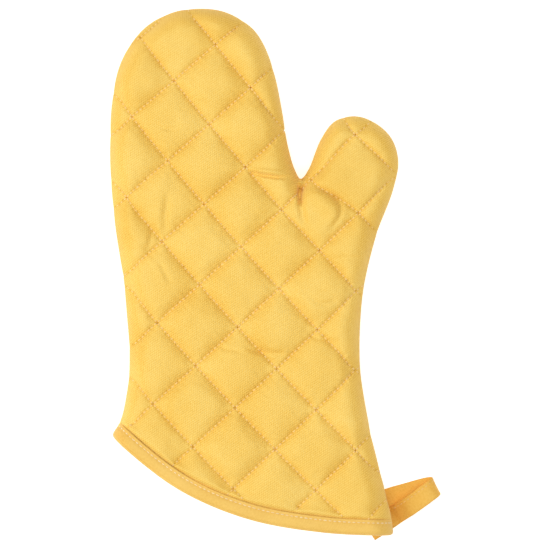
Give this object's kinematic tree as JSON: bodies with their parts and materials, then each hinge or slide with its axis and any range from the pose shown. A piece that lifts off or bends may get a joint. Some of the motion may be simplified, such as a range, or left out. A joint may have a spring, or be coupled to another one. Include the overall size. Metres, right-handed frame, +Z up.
{
  "type": "oven mitt",
  "caption": "Quilted cotton oven mitt with a thumb, a slanted cuff bound with tape, and a hanging loop at the cuff's thumb-side corner.",
  "frame": {"origin": "middle of the whole mitt's footprint, on the surface it lies on", "axes": "+Y towards the fingertips, +X towards the thumb side, +Z up out of the palm side"},
  "size_m": [0.2052, 0.3326, 0.028],
  "materials": {
    "shell_cloth": "golden yellow cotton twill, matte",
    "binding_tape": "golden yellow plain cotton tape, matte",
    "lining_cloth": "natural cotton, matte",
    "wadding": "white fibre wadding",
    "sewing_thread": "pale yellow spun thread"
  },
  "bodies": {
    "palm": {"back_lining_finger_fold": "lining_cloth", "back_lining_palm": "lining_cloth", "back_lining_thumb_fold": "lining_cloth", "back_padding_finger_fold": "wadding", "back_padding_palm": "wadding", "back_padding_thumb_fold": "wadding", "back_quilting_finger_fold": "sewing_thread", "back_quilting_palm": "sewing_thread", "back_quilting_thumb_fold": "sewing_thread", "back_shell_finger_fold": "shell_cloth", "back_shell_palm": "shell_cloth", "back_shell_thumb_fold": "shell_cloth", "cuff_binding": "binding_tape", "cuff_topstitch": "sewing_thread", "front_lining_finger_fold": "lining_cloth", "front_lining_palm": "lining_cloth", "front_lining_thumb_fold": "lining_cloth", "front_padding_finger_fold": "wadding", "front_padding_palm": "wadding", "front_padding_thumb_fold": "wadding", "front_quilting_finger_fold": "sewing_thread", "front_quilting_palm": "sewing_thread", "front_quilting_thumb_fold": "sewing_thread", "front_shell_finger_fold": "shell_cloth", "front_shell_palm": "shell_cloth", "front_shell_thumb_fold": "shell_cloth", "loop_tail": "binding_tape", "side_seam_finger_fold_1": "sewing_thread", "side_seam_finger_fold_2": "sewing_thread", "side_seam_palm_1": "sewing_thread", "side_seam_palm_2": "sewing_thread", "side_seam_palm_3": "sewing_thread", "side_seam_thumb_fold_1": "sewing_thread", "side_seam_thumb_fold_2": "sewing_thread"},
    "fingers": {"back_lining_fingers": "lining_cloth", "back_padding_fingers": "wadding", "back_quilting_fingers": "sewing_thread", "back_shell_fingers": "shell_cloth", "front_lining_fingers": "lining_cloth", "front_padding_fingers": "wadding", "front_quilting_fingers": "sewing_thread", "front_shell_fingers": "shell_cloth", "side_seam_fingers_1": "sewing_thread"},
    "thumb": {"back_lining_thumb": "lining_cloth", "back_padding_thumb": "wadding", "back_quilting_thumb": "sewing_thread", "back_shell_thumb": "shell_cloth", "front_lining_thumb": "lining_cloth", "front_padding_thumb": "wadding", "front_quilting_thumb": "sewing_thread", "front_shell_thumb": "shell_cloth", "side_seam_thumb_1": "sewing_thread"},
    "loop": {"hanging_loop": "binding_tape"}
  },
  "joints": [
    {"name": "fingers_fold", "type": "hinge", "parent": "palm", "child": "fingers", "pos_m": [-0.04851, 0.0849, 0.014], "axis": [0.9397, 0.342, 0], "range_deg": [0, 75], "stiffness_Nm_per_rad": 0.06, "deforming": ["back_lining_finger_fold", "back_padding_finger_fold", "back_quilting_finger_fold", "back_shell_finger_fold", "front_lining_finger_fold", "front_padding_finger_fold", "front_quilting_finger_fold", "front_shell_finger_fold", "side_seam_finger_fold_1", "side_seam_finger_fold_2"]},
    {"name": "thumb_fold", "type": "hinge", "parent": "palm", "child": "thumb", "pos_m": [0.04135, 0.0339, 0.014], "axis": [0.342, -0.9397, 0], "range_deg": [0, 60], "stiffness_Nm_per_rad": 0.04, "deforming": ["back_lining_thumb_fold", "back_padding_thumb_fold", "back_quilting_thumb_fold", "back_shell_thumb_fold", "front_lining_thumb_fold", "front_padding_thumb_fold", "front_quilting_thumb_fold", "front_shell_thumb_fold", "side_seam_thumb_fold_1", "side_seam_thumb_fold_2"]},
    {"name": "loop_swing", "type": "hinge", "parent": "palm", "child": "loop", "pos_m": [0.07498, -0.15041, 0.001], "axis": [0.5446, -0.8387, 0], "range_deg": [-60, 45]}
  ]
}
